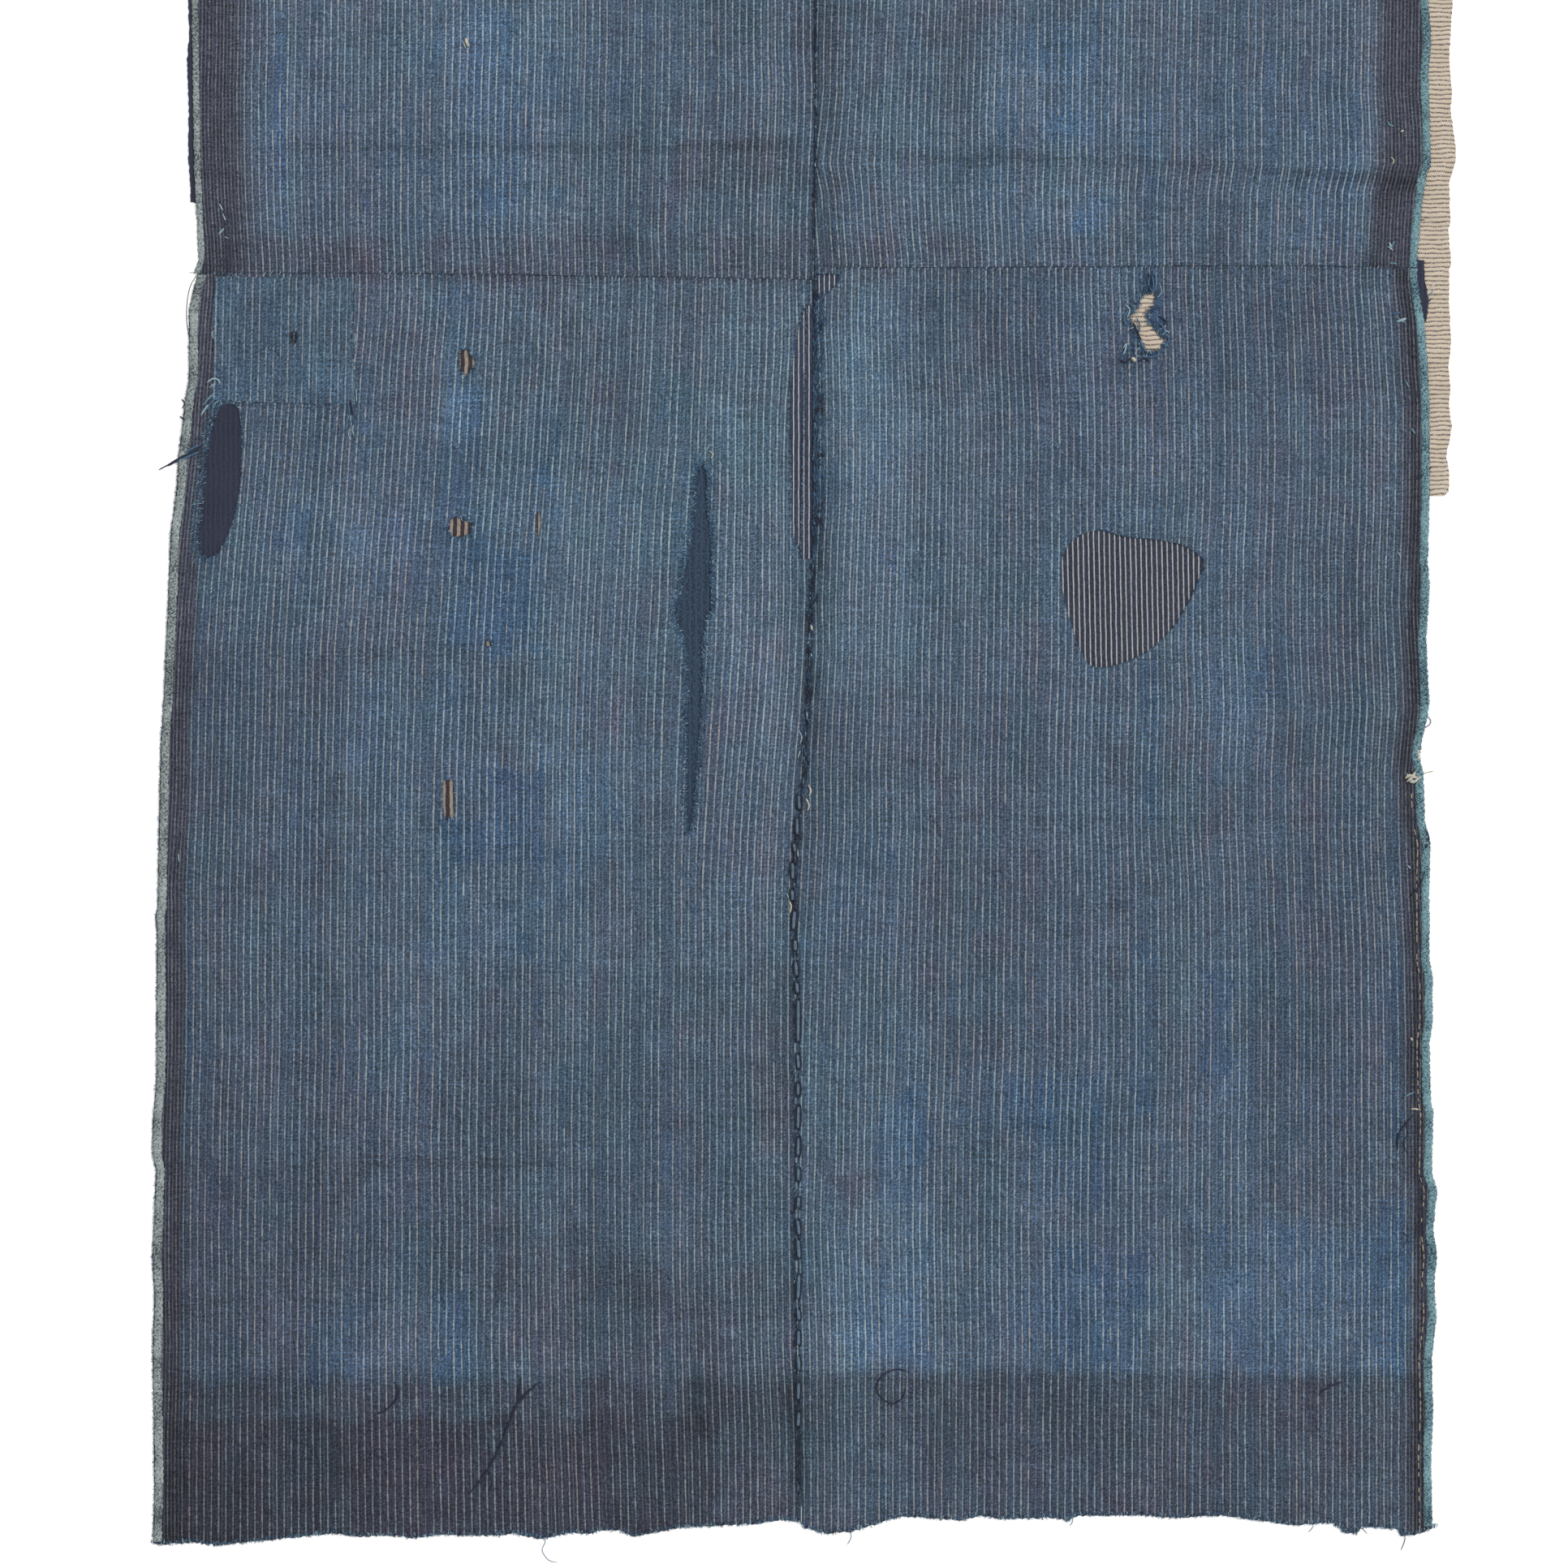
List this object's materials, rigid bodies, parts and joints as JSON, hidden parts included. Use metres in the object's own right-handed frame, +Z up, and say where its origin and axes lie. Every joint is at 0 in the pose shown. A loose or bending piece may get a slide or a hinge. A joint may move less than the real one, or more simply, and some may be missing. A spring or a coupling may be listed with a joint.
{
  "type": "boro patched cloth",
  "caption": "Worn indigo striped cotton cloth, two loom widths sewn side by side, with mending cloths behind its holes, laid flat.",
  "frame": {"origin": "on the ground under the middle of the cloth's box", "axes": "+Z up from the face, +Y towards the cloth's top, +X to the right as seen from above"},
  "size_m": [0.6731, 0.8496, 0.0041],
  "materials": {
    "striped_cotton": "matt woven",
    "navy_cotton": "matt woven",
    "brown_striped_cotton": "matt woven",
    "mid_indigo_cotton": "matt woven",
    "pinstriped_cotton": "matt woven",
    "undyed_cotton": "matt ribbed"
  },
  "bodies": {
    "root": {"upper_left_panel": "striped_cotton", "upper_right_panel": "striped_cotton", "lower_left_panel": "striped_cotton", "lower_right_panel": "striped_cotton", "corner_mend": "striped_cotton", "oval_patch": "navy_cotton", "brown_stripe_backing": "brown_striped_cotton", "slit_patch": "mid_indigo_cotton", "seam_patch": "pinstriped_cotton", "shield_patch": "pinstriped_cotton", "beige_backing": "undyed_cotton", "edge_backing": "navy_cotton", "edge_sliver": "navy_cotton"}
  },
  "joints": []
}
